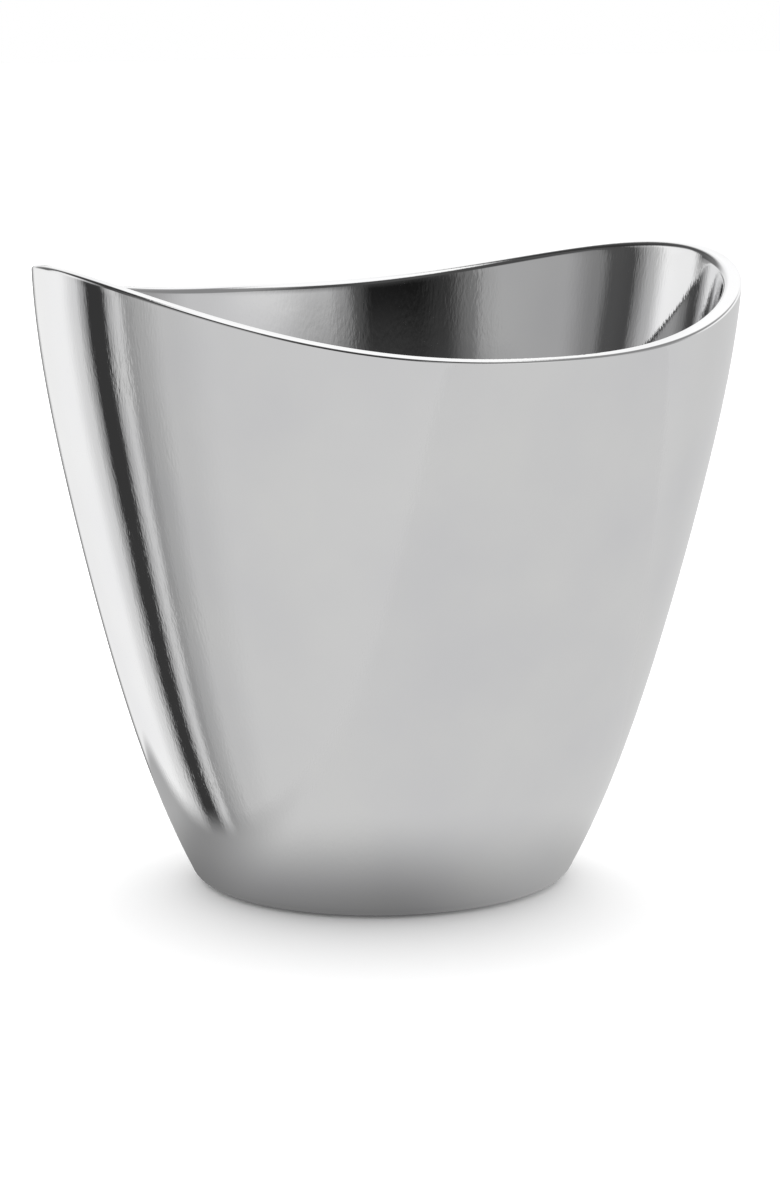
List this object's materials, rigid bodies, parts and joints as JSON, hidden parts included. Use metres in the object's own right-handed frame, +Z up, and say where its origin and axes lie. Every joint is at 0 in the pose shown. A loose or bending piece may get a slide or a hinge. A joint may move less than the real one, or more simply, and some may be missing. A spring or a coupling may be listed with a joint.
{
  "type": "champagne bucket",
  "caption": "Polished alloy champagne bucket with a saddle-shaped rounded rim, flared round mouth, smaller oval base and small protective pads underneath.",
  "frame": {"origin": "on the table under the middle of the base, level with the lower faces of the pads", "axes": "+Z up; X through the two raised ends of the rim; Y through its two low sides"},
  "size_m": [0.2676, 0.2618, 0.24],
  "materials": {
    "polished_alloy": "mirror polished by hand, with faint polishing ripple",
    "pad_rubber": "smooth satin, slightly translucent grey"
  },
  "bodies": {
    "root": {"bucket_shell": "polished_alloy", "base_pad_1": "pad_rubber", "base_pad_2": "pad_rubber", "base_pad_3": "pad_rubber", "base_pad_4": "pad_rubber"}
  },
  "joints": []
}
